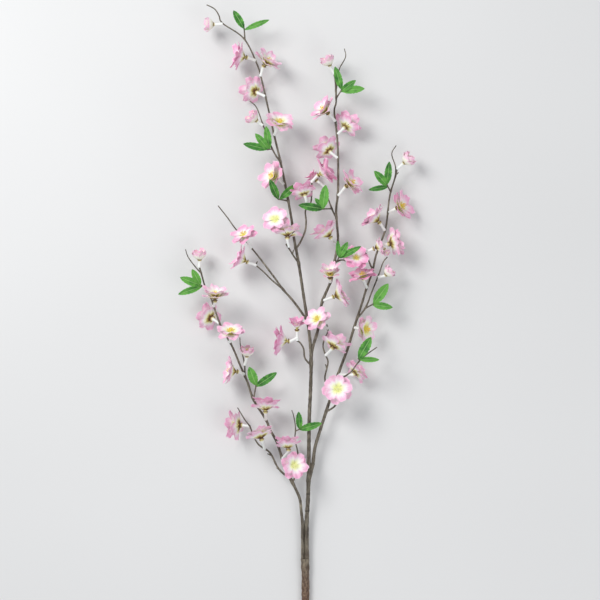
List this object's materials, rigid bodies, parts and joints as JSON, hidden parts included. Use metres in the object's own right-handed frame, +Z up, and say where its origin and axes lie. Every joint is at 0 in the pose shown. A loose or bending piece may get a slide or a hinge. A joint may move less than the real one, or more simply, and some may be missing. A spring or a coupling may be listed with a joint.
{
  "type": "artificial peach blossom branch",
  "caption": "Artificial branch of silk peach blossom lying on a surface, with plastic-coated wire stems, open blooms on short pegs, buds and leaf clusters.",
  "frame": {"origin": "on the surface, under the middle of the stem's small flat near its cut end", "axes": "+Y along the branch towards its tips, +X to the right seen from above, +Z up from the surface"},
  "size_m": [0.3811, 0.9928, 0.083],
  "materials": {
    "bark_plastic": "rough brown coating",
    "petal_silk": "stiffened pink cloth",
    "leaf_silk": "stiffened green cloth"
  },
  "bodies": {
    "root": {"bloom_centre_1": "petal_silk", "bloom_centre_10": "petal_silk", "bloom_centre_11": "petal_silk", "bloom_centre_2": "petal_silk", "bloom_centre_3": "petal_silk", "bloom_centre_4": "petal_silk", "bloom_centre_5": "petal_silk", "bloom_centre_6": "petal_silk", "bloom_centre_7": "petal_silk", "bloom_centre_8": "petal_silk", "bloom_centre_9": "petal_silk", "bloom_left_1": "petal_silk", "bloom_left_2": "petal_silk", "bloom_left_3": "petal_silk", "bloom_left_4": "petal_silk", "bloom_left_5": "petal_silk", "bloom_left_6": "petal_silk", "bloom_left_7": "petal_silk", "bloom_left_8": "petal_silk", "bloom_low_1": "petal_silk", "bloom_main_1": "petal_silk", "bloom_main_2": "petal_silk", "bloom_main_3": "petal_silk", "bloom_main_4": "petal_silk", "bloom_main_5": "petal_silk", "bloom_main_6": "petal_silk", "bloom_outer_1": "petal_silk", "bloom_outer_2": "petal_silk", "bloom_right_1": "petal_silk", "bloom_right_10": "petal_silk", "bloom_right_2": "petal_silk", "bloom_right_3": "petal_silk", "bloom_right_4": "petal_silk", "bloom_right_5": "petal_silk", "bloom_right_6": "petal_silk", "bloom_right_7": "petal_silk", "bloom_right_8": "petal_silk", "bloom_right_9": "petal_silk", "bud_centre_1": "petal_silk", "bud_left_1": "petal_silk", "bud_left_2": "petal_silk", "bud_main_1": "petal_silk", "bud_main_2": "petal_silk", "bud_right_1": "petal_silk", "bud_right_2": "petal_silk", "leaves_centre_1": "leaf_silk", "leaves_centre_2": "leaf_silk", "leaves_inner": "leaf_silk", "leaves_left_1": "leaf_silk", "leaves_left_2": "leaf_silk", "leaves_left_3": "leaf_silk", "leaves_main_1": "leaf_silk", "leaves_main_2": "leaf_silk", "leaves_right_1": "leaf_silk", "leaves_right_2": "leaf_silk", "leaves_right_3": "leaf_silk", "leaves_top": "leaf_silk", "left_limb": "bark_plastic", "main_stem": "bark_plastic", "right_limb": "bark_plastic"}
  },
  "joints": []
}
